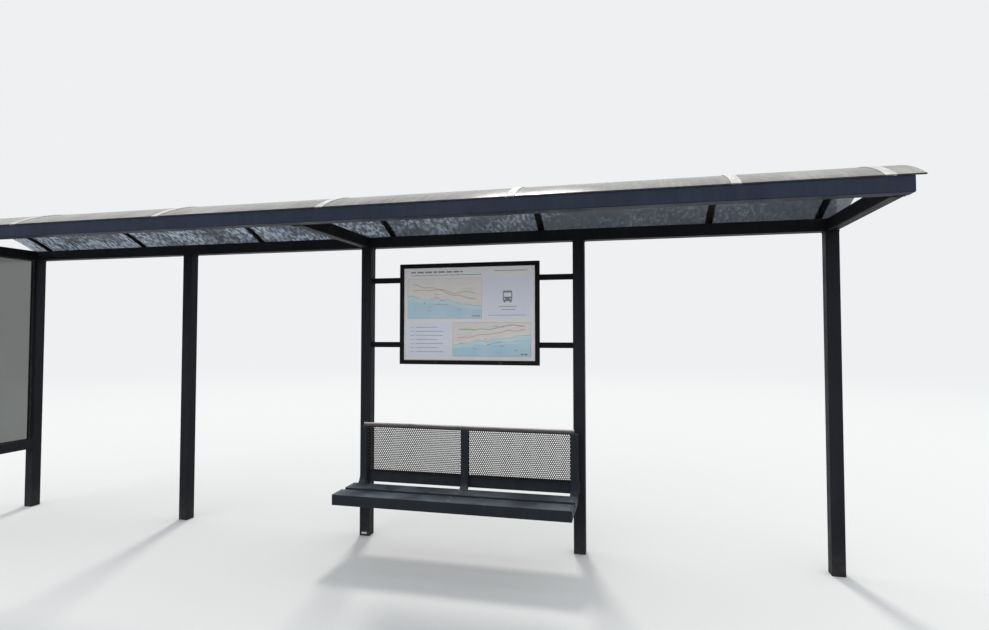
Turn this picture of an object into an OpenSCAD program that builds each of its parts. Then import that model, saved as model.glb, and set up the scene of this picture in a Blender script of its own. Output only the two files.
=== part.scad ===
// Roadside bus shelter: one row of square posts carries a flat frame of square
// tubes, with a shallow vaulted clear roof on top, a glazed panel at the left
// end, and a bench and a framed notice case between the third and fourth post.
// Millimetres, +Z up, +X to the right as seen from the road, +Y to the back.
// The origin is the middle of the third post's foot, at ground level.

/* [Frame of square tubes] */
// Outside width of the posts and the long beams
post_size = 80; // [70:1:100]
// Width of the roof arms, which are as high as the long beams
arm_width = 60; // [50:1:70]
// Wall of the posts, the long beams and the roof arms
post_wall = 4; // [3:0.5:6]
// Outside radius of the corners of these tubes
post_corner = 5; // [3:0.5:12]
// Distance from one post's middle to the next
post_pitch = 1600; // [1500:10:1800]
// Height from the ground to the underside of the roof frame
clear_height = 2160; // [2100:10:2500]
// Depth of the roof frame, from outside to outside of the two long beams
frame_depth = 1106; // [900:2:1300]
// Plate that closes the foot of each post
foot_plate = 8; // [6:1:12]
// Plate that closes each end of a long beam
end_cap = 3; // [2:0.5:5]

/* [Vaulted roof] */
// Rise of the vault over the tops of the long beams
roof_rise = 150; // [110:1:200]
// Width of a rafter
rafter_width = 25; // [20:1:40]
// Depth of a rafter
rafter_depth = 15; // [12:1:35]
// Wall of a rafter
rafter_wall = 2; // [1:0.5:4]
// Distance from one inner rafter's middle to the next
rafter_pitch = 1137; // [1000:1:1160]
// Place of the third of the seven rafters along the roof
rafter_middle_x = -943; // [-980:1:-860]
// From the left end of the frame to the middle of the first rafter
rafter_left_inset = 155; // [100:1:260]
// From the right end of the frame to the middle of the last rafter
rafter_right_inset = 102; // [60:1:200]
// Thickness of the clear roof sheets
sheet_thick = 4; // [3:0.5:6]
// Reach of the sheets past each end of the frame
sheet_end_reach = 45; // [20:1:70]
// Reach of the sheets past the two long beams, measured along the curve
sheet_eave_reach = 3; // [2:1:25]
// Gap between two sheets where they meet on a rafter
sheet_joint = 6; // [4:1:10]
// Width of the strips that cover the joints
strip_width = 48; // [40:1:70]
// Thickness of the cover strips
strip_thick = 6; // [4:1:10]

/* [End panel] */
// Height from the ground to the underside of the panel's bottom rail
panel_rail_z = 506; // [400:2:600]
// Thickness of the tinted pane
pane_thick = 8; // [6:1:12]

/* [Bench] */
// Height of the seat's top
seat_height = 435; // [420:5:480]
// Distance from the posts' front faces to the front edge of the seat
seat_reach = 490; // [470:5:560]
// Width of each seat slat
slat_width = 143; // [130:1:160]
// Gap between the two seat slats
slat_gap = 44; // [30:1:60]
// Depth of the rear slat's folded edges
slat_edge = 30; // [25:1:40]
// Depth of the front slat's folded front edge
seat_front_edge = 70; // [65:1:85]
// Wall of the folded slats
slat_wall = 3; // [2:0.5:4]
// Width of a bench bracket
bracket_width = 54; // [40:1:60]
// Thickness of a bench bracket
bracket_thick = 40; // [30:1:50]
// Wall of the brackets and of the backrest's lower rail
bracket_wall = 3; // [2:0.5:4]
// Outside radius of the corners of the brackets and of the lower rail
bracket_corner = 6; // [4:0.5:9]
// Radius of the bend between back and seat, on the sitting side
bracket_bend = 80; // [60:2:120]
// Top of the backrest above the ground
back_top = 855; // [800:5:950]
// Diameter of the backrest's top rail
top_rail_dia = 30; // [25:1:40]
// Wall of the backrest's top rail
top_rail_wall = 2; // [1.5:0.5:3]
// Height of the backrest's lower rail
low_rail_height = 82; // [60:1:100]
// Depth of the backrest's lower rail
low_rail_depth = 40; // [30:1:50]
// Underside of the backrest's lower rail above the ground
low_rail_z = 417; // [405:1:440]
// Thickness of the backrest's sheets
back_sheet = 2; // [1.5:0.5:4]

/* [Notice case] */
// Outside width of the case
case_width = 1050; // [900:2:1200]
// Outside height of the case
case_height = 742; // [600:2:900]
// From the underside of the roof frame down to the top of the case
case_drop = 134; // [100:2:200]
// Width of the case's front frame
case_border = 33; // [25:1:45]
// Thickness of the case's front frame
case_frame_thick = 8; // [6:1:12]
// Wall of the case's tray
case_wall = 3; // [2:0.5:5]
// Thickness of the backing board
board_thick = 14; // [8:1:24]
// Width of the printed sheet
print_width = 1000; // [840:2:1020]
// Height of the printed sheet
print_height = 700; // [560:2:712]
// Thickness of the printed sheet
print_thick = 1; // [0.6:0.2:2]
// Thickness of the clear cover
cover_thick = 4; // [3:0.5:6]
// Side of the two square rails that carry the case
case_rail = 25; // [20:1:30]
// Wall of the two carrying rails
case_rail_wall = 2; // [1.5:0.5:3]
// Outside radius of the corners of the two carrying rails
case_rail_corner = 4; // [3:0.5:6]
// From the top of the case down to the middle of the upper carrying rail
upper_rail_inset = 108; // [60:2:160]
// From the bottom of the case up to the middle of the lower carrying rail
lower_rail_inset = 136; // [60:2:180]

/* [Hidden] */
// Clearance under pieces that lie on a thin seal
seal = 0.3;
// Length by which a hollow runs past the face it opens
past = 1;
// Angle by which a curved bar runs past the level cut at its ends
past_angle = 2;
// Smoothness of curved faces
$fn = 180;

post_count = 5;
// The third post stands at the origin
origin_post = 3;
half_post = post_size / 2;
frame_half = (post_count - 1) / 2 * post_pitch + half_post;
beam_top = clear_height + post_size;
front_face = half_post - frame_depth;
front_beam_y = front_face + half_post;
arm_length = frame_depth - 2 * post_size;

// The vault is an arc through the outer top edges of the two long beams
vault_half = frame_depth / 2;
vault_mid_y = half_post - vault_half;
vault_radius = (vault_half * vault_half + roof_rise * roof_rise) / (2 * roof_rise);
vault_centre_z = beam_top + roof_rise - vault_radius;
vault_angle = asin(vault_half / vault_radius);
eave_angle = vault_angle + sheet_eave_reach / vault_radius * 180 / PI;

// Rafters 2 to 6 are evenly spaced, the first and the last stand near the ends
rafter_count = 7;
function rafter_x(i) =
    i == 1 ? -frame_half + rafter_left_inset :
    i == rafter_count ? frame_half - rafter_right_inset :
    rafter_middle_x + (i - 3) * rafter_pitch;

// Sheets meet on rafters 2 to 6, so there is one sheet fewer than rafters
sheet_count = rafter_count - 1;
function sheet_start(i) =
    i == 1 ? -frame_half - sheet_end_reach : rafter_x(i) + sheet_joint / 2;
function sheet_stop(i) =
    i == sheet_count ? frame_half + sheet_end_reach : rafter_x(i + 1) - sheet_joint / 2;

// The seat runs from the middle of the third post to the middle of the fourth, and the
// outer brackets are flush with its ends
bench_x = post_pitch / 2;
seat_length = post_pitch;
bracket_pitch = (seat_length - bracket_width) / 2;
low_rail_front = -half_post - low_rail_depth;
bracket_front = low_rail_front - bracket_thick;
seat_front = -half_post - seat_reach;
bracket_top_z = seat_height - slat_edge;
rear_slat_y = seat_front + slat_width + slat_gap;
back_clear = bracket_pitch - bracket_width;
bracket_height = back_top - top_rail_dia;
top_rail_z = back_top - top_rail_dia / 2;
top_rail_y = low_rail_front - bracket_thick / 2;

// The case hangs under the roof frame, on the front of its two rails
case_depth = case_wall + board_thick + print_thick + cover_thick;
case_back_y = -case_rail / 2;
case_top_z = clear_height - case_drop;
case_middle_z = case_top_z - case_height / 2;
upper_rail_z = case_top_z - upper_rail_inset;
lower_rail_z = case_top_z - case_height + lower_rail_inset;

steel = "#2b2e36";

// Outline with rounded corners about the middle
module rounded_outline(width, height, corner) {
    square([width - 2 * corner, height], center = true);
    square([width, height - 2 * corner], center = true);
    for (x = [-1, 1], y = [-1, 1])
        translate([x * (width / 2 - corner), y * (height / 2 - corner)]) circle(corner);
}

// Outline of a square or oblong tube, whose inside corners have half the radius
module tube_outline(width, height, wall, corner) {
    difference() {
        rounded_outline(width, height, corner);
        rounded_outline(width - 2 * wall, height - 2 * wall, corner / 2);
    }
}

// Tubes from the middle of one end: along X, width across and height up; along Y
module tube_x(length, width, height, wall, corner) {
    rotate([90, 0, 90]) linear_extrude(length) tube_outline(width, height, wall, corner);
}

module tube_y(length, width, height, wall, corner) {
    rotate([-90, 0, 0]) linear_extrude(length) tube_outline(width, height, wall, corner);
}

// Post: a square tube closed at the foot, open at the top against the beam
module post(height) {
    inside = post_size - 2 * post_wall;
    difference() {
        linear_extrude(height) rounded_outline(post_size, post_size, post_corner);
        translate([0, 0, foot_plate])
            linear_extrude(height) rounded_outline(inside, inside, post_corner / 2);
    }
}

module row_post(i) {
    color(steel) translate([(i - origin_post) * post_pitch, 0, 0]) post(clear_height);
}

// Long beams lie on the posts and along the front edge
module long_beam(y) {
    color(steel) translate([-frame_half + end_cap, y, clear_height + half_post])
        tube_x(2 * (frame_half - end_cap), post_size, post_size, post_wall, post_corner);
}

module beam_end_caps() {
    for (y = [0, front_beam_y], x = [-frame_half, frame_half - end_cap])
        color(steel) translate([x, y, clear_height + half_post])
            rotate([90, 0, 90])
                linear_extrude(end_cap) rounded_outline(post_size, post_size, post_corner);
}

// Roof arms lie between the two long beams, level with them, at posts 1, 3 and 5
module roof_arm(i) {
    color(steel)
        translate([(i - origin_post) * post_pitch, -half_post - arm_length, clear_height + half_post])
            tube_y(arm_length, arm_width, post_size, post_wall, post_corner);
}

// Curved bar along the vault, from x0 to x1, between two radii, over the given half angle
module vault_bar(x0, x1, inner, outer, angle) {
    translate([x0, vault_mid_y, vault_centre_z])
        rotate([0, 90, 0])
            rotate([0, 0, 180 - angle])
                rotate_extrude(angle = 2 * angle)
                    translate([inner, 0]) square([outer - inner, x1 - x0]);
}

// Rafter: a curved square tube whose ends are cut level to stand on the two long beams
module rafter(i) {
    x0 = rafter_x(i) - rafter_width / 2;
    x1 = rafter_x(i) + rafter_width / 2;
    inner = vault_radius - rafter_depth;
    color(steel) intersection() {
        difference() {
            vault_bar(x0, x1, inner, vault_radius, vault_angle + past_angle);
            vault_bar(x0 + rafter_wall, x1 - rafter_wall, inner + rafter_wall,
                vault_radius - rafter_wall, vault_angle + 2 * past_angle);
        }
        translate([x0 - past, front_face, beam_top])
            cube([rafter_width + 2 * past, frame_depth, roof_rise + past]);
    }
}

module roof_sheet(i) {
    inner = vault_radius + seal;
    color("#b9bdb8", 0.5)
        vault_bar(sheet_start(i), sheet_stop(i), inner, inner + sheet_thick, eave_angle);
}

// Cover strips clamp the sheets along every rafter
module cover_strips() {
    inner = vault_radius + 2 * seal + sheet_thick;
    for (i = [1 : rafter_count])
        color("#d9d8d2")
            vault_bar(rafter_x(i) - strip_width / 2, rafter_x(i) + strip_width / 2,
                inner, inner + strip_thick, eave_angle);
}

// End panel: an upright under the front beam, a bottom rail and a tinted pane
module end_upright() {
    color(steel) translate([(1 - origin_post) * post_pitch, front_beam_y, 0]) post(clear_height);
}

module end_rail() {
    color(steel)
        translate([(1 - origin_post) * post_pitch, -half_post - arm_length, panel_rail_z + half_post])
            tube_y(arm_length, post_size, post_size, post_wall, post_corner);
}

module end_pane() {
    bottom = panel_rail_z + post_size + seal;
    color("#6f7a76", 0.5)
        translate([(1 - origin_post) * post_pitch - pane_thick / 2, seal - half_post - arm_length, bottom])
            cube([pane_thick, arm_length - 2 * seal, clear_height - seal - bottom]);
}

// Bent bar of a bench bracket, seen from the side with -Y to the right: the back, the bend
// and the seat arm. The inset makes the bar slimmer all round and shorter at the top.
module bent_bar(inset, corner, arm_past) {
    wide = bracket_width - 2 * inset;
    thick = bracket_thick - 2 * inset;
    back_x = -bracket_front - bracket_thick / 2;
    bend_x = -bracket_front + bracket_bend;
    bend_z = bracket_top_z + bracket_bend;
    arm_z = bracket_top_z - bracket_thick / 2;
    arm_end = -seat_front - slat_wall;
    // back
    translate([back_x, bend_z, 0]) rotate([-90, 0, 0])
        linear_extrude(bracket_height - inset - bend_z) rounded_outline(thick, wide, corner);
    // bend
    translate([bend_x, bend_z, 0]) rotate([0, 0, 180])
        rotate_extrude(angle = 90)
            translate([bend_x - back_x, 0]) rounded_outline(thick, wide, corner);
    // seat arm
    translate([bend_x, arm_z, 0]) rotate([0, 90, 0])
        linear_extrude(arm_end + arm_past - bend_x) rounded_outline(wide, thick, corner);
}

// Bench bracket: a bent tube closed at the top, its arm open against the seat's front edge
module bench_bracket(place) {
    color(steel)
        translate([bench_x + place * bracket_pitch, 0, 0]) rotate([90, 0, -90])
            difference() {
                bent_bar(0, bracket_corner, 0);
                bent_bar(bracket_wall, bracket_corner / 2, past);
            }
}

// Folded slat with closed ends: a top with edges turned down at the front and the back
module folded_slat(front_edge, back_edge) {
    difference() {
        cube([seat_length, slat_width, front_edge]);
        translate([slat_wall, slat_wall, -past])
            cube([seat_length - 2 * slat_wall, slat_width - 2 * slat_wall, front_edge + past - slat_wall]);
        if (front_edge > back_edge)
            translate([-past, slat_wall, -past])
                cube([seat_length + 2 * past, slat_width, front_edge + past - back_edge]);
    }
}

module seat_slat_rear() {
    color(steel) translate([bench_x - seat_length / 2, rear_slat_y, seat_height - slat_edge])
        folded_slat(slat_edge, slat_edge);
}

// The front slat has a deep front edge
module seat_slat_front() {
    color(steel) translate([bench_x - seat_length / 2, seat_front, seat_height - seat_front_edge])
        folded_slat(seat_front_edge, slat_edge);
}

// Backrest: a round top rail on the brackets and a box rail bolted to the posts
module back_top_rail() {
    color(steel)
        translate([bench_x - bracket_pitch, top_rail_y, top_rail_z]) rotate([90, 0, 90])
            linear_extrude(2 * bracket_pitch) difference() {
                circle(d = top_rail_dia);
                circle(d = top_rail_dia - 2 * top_rail_wall);
            }
}

module back_low_rail() {
    color(steel)
        translate([bench_x - seat_length / 2, low_rail_front + low_rail_depth / 2,
            low_rail_z + low_rail_height / 2])
            tube_x(seat_length, low_rail_depth, low_rail_height, bracket_wall, bracket_corner);
}

// Perforated sheet between two brackets, with its lower edge turned back onto the box rail
module back_sheet_panel(place) {
    bottom = low_rail_z + low_rail_height;
    top = top_rail_z - top_rail_dia / 2;
    x0 = place < 0 ? bench_x - bracket_pitch + bracket_width / 2 : bench_x + bracket_width / 2;
    color("#3a3936") translate([x0, top_rail_y - back_sheet / 2, bottom]) {
        cube([back_clear, back_sheet, top - bottom]);
        cube([back_clear, -half_post - top_rail_y, back_sheet]);
    }
}

// Notice case on two rails between the third and the fourth post
module case_rail_bar(z) {
    color(steel) translate([half_post, 0, z])
        tube_x(post_pitch - post_size, case_rail, case_rail, case_rail_wall, case_rail_corner);
}

// Block about the middle of the case, of the given width and height, from one depth to another
module case_block(width, height, from, to) {
    translate([bench_x - width / 2, case_back_y - to, case_middle_z - height / 2])
        cube([width, to - from, height]);
}

module case_tray() {
    color(steel) difference() {
        case_block(case_width, case_height, 0, case_depth);
        case_block(case_width - 2 * case_wall, case_height - 2 * case_wall,
            case_wall, case_depth + past);
    }
}

module case_board() {
    gap = case_wall + seal;
    color("#8d8f8c")
        case_block(case_width - 2 * gap, case_height - 2 * gap, case_wall, case_wall + board_thick);
}

module case_print() {
    front = case_depth - cover_thick;
    color("#c9c7c9") case_block(print_width, print_height, front - print_thick, front);
}

module case_cover() {
    gap = case_wall + seal;
    color("#d5dadb", 0.4)
        case_block(case_width - 2 * gap, case_height - 2 * gap, case_depth - cover_thick, case_depth);
}

module case_frame() {
    color(steel) difference() {
        case_block(case_width, case_height, case_depth, case_depth + case_frame_thick);
        case_block(case_width - 2 * case_border, case_height - 2 * case_border,
            case_depth - past, case_depth + case_frame_thick + past);
    }
}

row_post(1);  // post_1
row_post(2);  // post_2
row_post(3);  // post_3
row_post(4);  // post_4
row_post(5);  // post_5
long_beam(0);  // rear_beam
long_beam(front_beam_y);  // front_beam
beam_end_caps();
roof_arm(1);  // roof_arm_left
roof_arm(3);  // roof_arm_middle
roof_arm(5);  // roof_arm_right
rafter(1);  // rafter_1
rafter(2);  // rafter_2
rafter(3);  // rafter_3
rafter(4);  // rafter_4
rafter(5);  // rafter_5
rafter(6);  // rafter_6
rafter(7);  // rafter_7
roof_sheet(1);  // roof_sheet_1
roof_sheet(2);  // roof_sheet_2
roof_sheet(3);  // roof_sheet_3
roof_sheet(4);  // roof_sheet_4
roof_sheet(5);  // roof_sheet_5
roof_sheet(6);  // roof_sheet_6
cover_strips();
end_upright();
end_rail();
end_pane();
bench_bracket(-1);  // bench_bracket_left
bench_bracket(0);  // bench_bracket_middle
bench_bracket(1);  // bench_bracket_right
seat_slat_rear();
seat_slat_front();
back_top_rail();
back_low_rail();
back_sheet_panel(-1);  // back_sheet_left
back_sheet_panel(1);  // back_sheet_right
case_rail_bar(upper_rail_z);  // case_rail_upper
case_rail_bar(lower_rail_z);  // case_rail_lower
case_tray();
case_board();
case_print();
case_cover();
case_frame();
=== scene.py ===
import math
import random

import bmesh
import bpy
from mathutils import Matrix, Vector


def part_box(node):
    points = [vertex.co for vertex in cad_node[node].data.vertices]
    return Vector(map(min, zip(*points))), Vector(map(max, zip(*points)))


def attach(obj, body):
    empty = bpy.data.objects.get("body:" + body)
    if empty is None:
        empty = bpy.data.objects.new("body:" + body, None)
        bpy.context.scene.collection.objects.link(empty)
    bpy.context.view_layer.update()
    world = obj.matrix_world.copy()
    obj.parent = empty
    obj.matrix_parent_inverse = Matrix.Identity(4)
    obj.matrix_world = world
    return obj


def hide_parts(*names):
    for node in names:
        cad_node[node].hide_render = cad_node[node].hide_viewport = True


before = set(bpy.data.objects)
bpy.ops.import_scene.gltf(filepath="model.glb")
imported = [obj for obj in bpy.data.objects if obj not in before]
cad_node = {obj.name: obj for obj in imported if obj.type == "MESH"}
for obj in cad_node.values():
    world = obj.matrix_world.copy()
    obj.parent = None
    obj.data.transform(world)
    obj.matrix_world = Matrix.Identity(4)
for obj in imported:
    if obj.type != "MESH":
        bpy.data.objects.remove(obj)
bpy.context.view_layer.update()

# Standing place
# Seen from the road at the height of a standing person's eyes, in front of the bench,
# turned a little to the left and tipped up to take in the roof.
view_data = bpy.data.cameras.new("road_view")
view_data.sensor_width = 36
view_data.lens = 21.18
road_view = bpy.data.objects.new("road_view", view_data)
road_view.location = (1.9682, -4.0979, 1.5016)
road_view.rotation_euler = (math.pi / 2 + 0.0339, 0, 0.2340)
bpy.context.scene.collection.objects.link(road_view)
bpy.context.scene.camera = road_view
bpy.context.scene.view_settings.view_transform = "Standard"

studio_pale = (0.86, 0.87, 0.88, 1)


def step(owner, kind, sockets=None, **options):
    """Adds one shader step; sockets hold plain values or other steps' outputs."""
    made = owner.node_tree.nodes.new("ShaderNode" + kind)
    for option, value in options.items():
        setattr(made, option, value)
    for socket, value in (sockets or {}).items():
        if isinstance(value, bpy.types.NodeSocket):
            owner.node_tree.links.new(value, made.inputs[socket])
        else:
            made.inputs[socket].default_value = value
    return made.outputs


def bare_finish(name):
    """A material with nothing in it yet, for a finish to be built up in."""
    finish = bpy.data.materials.new(name)
    finish.use_nodes = True
    finish.node_tree.nodes.clear()
    return finish


def pale_for_eye(owner):
    """1 for rays that show the studio itself: straight, in a gloss or through glass."""
    ray = step(owner, "LightPath")
    seen = step(owner, "Math", {0: ray["Is Camera Ray"], 1: ray["Is Glossy Ray"]}, operation="MAXIMUM")
    return step(owner, "Math", {0: seen[0], 1: ray["Is Transmission Ray"]}, operation="MAXIMUM")[0]


# The studio lights the shelter softly from all round, and shows as one plain pale tone.
studio = bpy.data.worlds.new("studio")
studio.use_nodes = True
studio.node_tree.nodes.clear()
soft_light = step(studio, "Background", {"Color": (0.95, 0.98, 1.0, 1), "Strength": 0.86})
seen_light = step(studio, "Background", {"Color": studio_pale, "Strength": 1.0})
both = step(studio, "MixShader", {0: pale_for_eye(studio), 1: soft_light[0], 2: seen_light[0]})
step(studio, "OutputWorld", {"Surface": both[0]})
bpy.context.scene.world = studio


def far_lamp(name, energy, width, colour, shines):
    """A lamp at a great distance: its width in degrees, and the way that its light goes."""
    lamp_data = bpy.data.lights.new(name, "SUN")
    lamp_data.energy = energy
    lamp_data.angle = math.radians(width)
    lamp_data.color = colour
    lamp = bpy.data.objects.new(name, lamp_data)
    lamp.rotation_euler = Vector(shines).to_track_quat("-Z", "Y").to_euler()
    bpy.context.scene.collection.objects.link(lamp)


# A hazy sun stands high behind the shelter. A weak lamp as wide as a lit wall stands in for
# the open daylight in front.
far_lamp("soft_sun", 1.2, 9, (1.0, 0.97, 0.92), (0.26, -1.0, -1.19))
far_lamp("front_glow", 0.46, 60, (1.0, 1.0, 1.0), (0.12, 1.0, -0.30))

# The floor keeps the shelter's shadow and melts into the backdrop far out. It is pale wherever
# it is seen, but throws light up as dull grey ground does, and from below it is clear.
floor_radius = 60
melt_from, melt_to = 7.0, 24.0
floor_mesh = bpy.data.meshes.new("studio_floor")
disc = bmesh.new()
bmesh.ops.create_circle(disc, cap_ends=True, radius=floor_radius, segments=96)
disc.to_mesh(floor_mesh)
disc.free()
floor = bpy.data.objects.new("studio_floor", floor_mesh)
bpy.context.scene.collection.objects.link(floor)
floor_pale = bare_finish("floor_pale")
seen = pale_for_eye(floor_pale)
spot = step(floor_pale, "TexCoord")["Object"]
reach = step(floor_pale, "VectorMath", {0: spot}, operation="LENGTH")["Value"]
far = step(floor_pale, "MapRange", {"Value": reach, "From Min": melt_from, "From Max": melt_to},
           interpolation_type="SMOOTHSTEP")
far_seen = step(floor_pale, "Math", {0: far[0], 1: seen}, operation="MULTIPLY")
plaster = step(floor_pale, "BsdfDiffuse", {"Color": (0.80, 0.80, 0.80, 1)})
grey_ground = step(floor_pale, "BsdfDiffuse", {"Color": (0.24, 0.235, 0.225, 1)})
matt = step(floor_pale, "MixShader", {0: seen, 1: grey_ground[0], 2: plaster[0]})
glow = step(floor_pale, "Emission", {"Color": studio_pale, "Strength": 1.0})
ground = step(floor_pale, "MixShader", {0: far_seen[0], 1: matt[0], 2: glow[0]})
clear = step(floor_pale, "BsdfTransparent")
side = step(floor_pale, "NewGeometry")
ground = step(floor_pale, "MixShader", {0: side["Backfacing"], 1: ground[0], 2: clear[0]})
step(floor_pale, "OutputMaterial", {"Surface": ground[0]})
floor_mesh.materials.append(floor_pale)

# Posts
# Five 80 mm square steel tubes in one row, standing straight on the ground. They are powder
# coated in matt anthracite; rain has left faint runs, and splashes have dusted their feet.


def noise(finish, where, scale, low, high, detail=3.0, stretch=None, out=(0.0, 1.0)):
    """Cloudy pattern between two limits; stretch draws it out along an axis."""
    if stretch:
        where = step(finish, "VectorMath", {0: where, 1: stretch}, operation="MULTIPLY")[0]
    cloud = step(finish, "TexNoise", {"Vector": where, "Scale": scale, "Detail": detail})
    return step(finish, "MapRange", {"Value": cloud[0], "From Min": low, "From Max": high,
                                     "To Min": out[0], "To Max": out[1]})[0]


def sums(finish, operation, first, second):
    """One sum on two values, named as the shader step names it."""
    return step(finish, "Math", {0: first, 1: second}, operation=operation)[0]


def layered(finish, start, *layers):
    """Patterns added up from a start, each (pattern, weight)."""
    for pattern, weight in layers:
        start = sums(finish, "ADD", start, sums(finish, "MULTIPLY", pattern, weight))
    return start


def blended(finish, share, first, second):
    """The first colour at share 0, the second at 1."""
    return step(finish, "Mix", {0: share, 6: first, 7: second}, data_type="RGBA")[2]


def powder_coat(name, coat, dust_and_light_tone, on_top, splash=0.0, worn=0.0):
    """Matt powder coat, paler on what faces up, with rain runs, splashed feet and worn edges. The pale top
    is dust, and on some coats painted light as well.
    """
    finish = bare_finish(name)
    spot = step(finish, "TexCoord")["Object"]
    shape = step(finish, "NewGeometry")
    facing = step(finish, "SeparateXYZ", {0: shape["Normal"]})["Z"]
    height = step(finish, "SeparateXYZ", {0: spot})["Z"]
    up = step(finish, "MapRange", {"Value": facing, "From Min": 0.35, "From Max": 0.95})[0]
    patches = noise(finish, spot, 4.2, 0.38, 0.62, 6.0, out=(0.25, 1.0))
    runs = noise(finish, spot, 1.0, 0.42, 0.72, 3.0, stretch=(15.0, 15.0, 0.9))
    specks = noise(finish, spot, 170.0, 0.66, 0.74, 2.0)
    low = step(finish, "MapRange", {"Value": height, "From Min": 0.22, "From Max": 0.0})[0]
    mud = sums(finish, "MULTIPLY", low, noise(finish, spot, 16.0, 0.25, 0.75, 6.0))
    veil = sums(finish, "MULTIPLY", up, sums(finish, "MULTIPLY", patches, on_top))
    veil = layered(finish, veil, (runs, 0.030), (specks, 0.16), (mud, splash))
    if worn:
        round_edge = step(finish, "Bevel", {"Radius": 0.0025}, samples=4)[0]
        flat = step(finish, "VectorMath", {0: round_edge, 1: shape["Normal"]}, operation="DOT_PRODUCT")
        edge = step(finish, "MapRange", {"Value": flat["Value"], "From Min": 0.99, "From Max": 0.85})[0]
        rub = sums(finish, "MULTIPLY", edge, noise(finish, spot, 60.0, 0.42, 0.62, 4.0))
        veil = layered(finish, veil, (rub, worn))
    veil = step(finish, "Clamp", {0: veil})[0]
    tone = noise(finish, spot, 2.2, 0.3, 0.7, 4.0)
    darker = tuple(0.78 * part for part in coat) + (1,)
    body = blended(finish, tone, darker, tuple(coat) + (1,))
    colour = blended(finish, veil, body, tuple(dust_and_light_tone) + (1,))
    peel = step(finish, "TexNoise", {"Vector": spot, "Scale": 420.0, "Detail": 1.0})[0]
    grain = step(finish, "Bump", {"Height": peel, "Strength": 0.22, "Distance": 0.0004})[0]
    rough = layered(finish, noise(finish, spot, 9.0, 0.3, 0.7, out=(0.40, 0.54)), (veil, 0.35))
    skin = step(finish, "BsdfPrincipled", {"Base Color": colour, "Roughness": rough, "Normal": grain,
                                           "Specular IOR Level": 0.04})
    step(finish, "OutputMaterial", {"Surface": skin[0]})
    return finish


def dress(name, finish):
    """Gives a carried-over part its finish."""
    part = cad_node[name]
    for held in part.material_slots:
        held.link = "OBJECT"
        held.material = finish


def middle_of(name):
    """The middle of a carried-over part's box."""
    low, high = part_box(name)
    return (low + high) / 2


post_coat = powder_coat("post_coat", (0.0265, 0.0275, 0.0345), (0.19, 0.175, 0.158), on_top=0.45,
                        splash=0.25)
for number in range(1, 6):
    dress(f"post_{number}", post_coat)

# Long beams and roof arms
# The same 80 mm tube: one beam lies on the posts, one runs level with it along the front. Three
# arms of 60 by 80 mm tube join them. The ends are capped, and all joints are welded and coated over.
# They all carry the one anthracite paint. The front beam gets a lighter, bluer copy of it, painted
# sky light; the arms, rafters and beam caps get a darker copy of it, painted shade.
painted_shade_coat = powder_coat("painted_shade_coat", (0.0150, 0.0158, 0.0195), (0.28, 0.27, 0.25), on_top=0.8)
dress("beam_end_caps", painted_shade_coat)
dress("rear_beam", post_coat)
# A lighter, bluer copy of the coat: painted sky light on the front beam.
painted_sky_light_coat = powder_coat("painted_sky_light_coat", (0.041, 0.051, 0.083), (0.28, 0.285, 0.295), on_top=0.8)
dress("front_beam", painted_sky_light_coat)

tube = 0.08
tube_corner = 0.005
beam_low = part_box("rear_beam")[0].z
beam_middle = beam_low + tube / 2
front_beam_y = middle_of("front_beam").y


def finished_piece(name, mesh_work, finishes, crisp=35.0):
    """Turns mesh work into a piece: recalculated faces, smooth but for its crisp edges."""
    bmesh.ops.recalc_face_normals(mesh_work, faces=mesh_work.faces)
    mesh = bpy.data.meshes.new(name)
    mesh_work.to_mesh(mesh)
    mesh_work.free()
    for finish in finishes:
        mesh.materials.append(finish)
    mesh.polygons.foreach_set("use_smooth", [True] * len(mesh.polygons))
    mesh.set_sharp_from_angle(angle=math.radians(crisp))
    piece = bpy.data.objects.new(name, mesh)
    bpy.context.scene.collection.objects.link(piece)
    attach(piece, "root")
    return piece


def skin_rings(work, rings, loop=False, finish=0):
    """Faces between rings of points, with closed ends unless the rings go round."""
    made = [[work.verts.new(point) for point in ring] for ring in rings]
    pairs = list(zip(made, made[1:])) + ([(made[-1], made[0])] if loop else [])
    faces = []
    for one, two in pairs:
        for i in range(len(one)):
            j = (i + 1) % len(one)
            faces.append(work.faces.new((one[i], one[j], two[j], two[i])))
    if not loop:
        faces += [work.faces.new(made[0][::-1]), work.faces.new(made[-1])]
    for face in faces:
        face.material_index = finish


def round_ring(centre, across, other, radius, sides):
    """Points of a circle about a centre, in the plane of two directions."""
    return [centre + radius * (math.cos(a) * across + math.sin(a) * other)
            for a in [k * math.tau / sides for k in range(sides)]]


def weld_bead(work, path, leg, seed, loop=False):
    """Round weld bead along close-set points, rippled as the torch moved on."""
    draw = random.Random(seed)
    count = len(path)
    rings = []
    wave = 0.0
    for i, point in enumerate(path):
        before = path[i - 1] if i or loop else path[i]
        after = path[(i + 1) % count] if i < count - 1 or loop else path[i]
        along = (Vector(after) - Vector(before)).normalized()
        across = along.orthogonal().normalized()
        other = along.cross(across)
        wave = 0.7 * wave + draw.uniform(-0.05, 0.05)
        swell = leg * (1.0 + 0.13 * math.sin(i * 2.1) + wave)
        if not loop:
            swell *= min(1.0, 0.35 + 0.3 * min(i, count - 1 - i))
        rings.append(round_ring(Vector(point), across, other, swell, bead_sides))
    if loop:
        # keep the rings in step where the corner turns the axes
        for i in range(1, len(rings)):
            turn = min(range(bead_sides), key=lambda t: (rings[i][t] - rings[i - 1][0]).length)
            rings[i] = rings[i][turn:] + rings[i][:turn]
            if (rings[i][1] - rings[i - 1][1]).length > (rings[i][-1] - rings[i - 1][1]).length:
                rings[i] = [rings[i][0]] + rings[i][:0:-1]
    skin_rings(work, rings, loop)


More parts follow.
